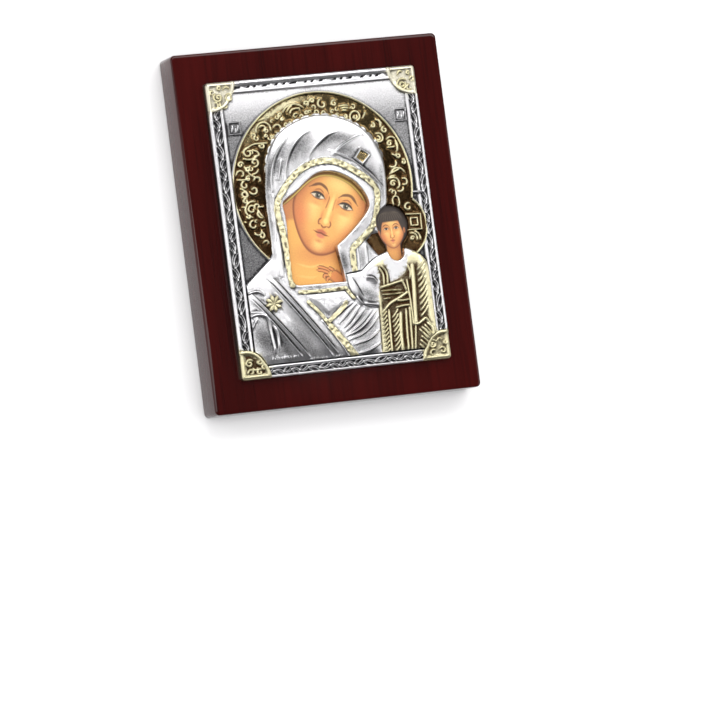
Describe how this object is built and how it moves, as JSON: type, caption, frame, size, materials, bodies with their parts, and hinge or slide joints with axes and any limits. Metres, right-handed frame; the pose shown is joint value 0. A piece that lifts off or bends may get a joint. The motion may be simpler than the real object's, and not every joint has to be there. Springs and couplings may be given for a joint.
{
  "type": "small embossed icon panel",
  "caption": "Small wooden icon panel with a painted card under a raised silver and gilt cover plate pierced for the two faces.",
  "frame": {"origin": "middle of the board's underside, the panel lying on its back", "axes": "+X to the panel's right side, +Y to its top edge, +Z out of its front"},
  "size_m": [0.07, 0.089, 0.0114],
  "materials": {
    "lacquered_wood": "dark red-brown stain under gloss lacquer",
    "painted_card": "matt painted picture",
    "silver": "satin silver, gilded in parts, darkened in the recesses"
  },
  "bodies": {
    "root": {"wood_board": "lacquered_wood", "painted_card": "painted_card", "silver_plate": "silver"}
  },
  "joints": []
}
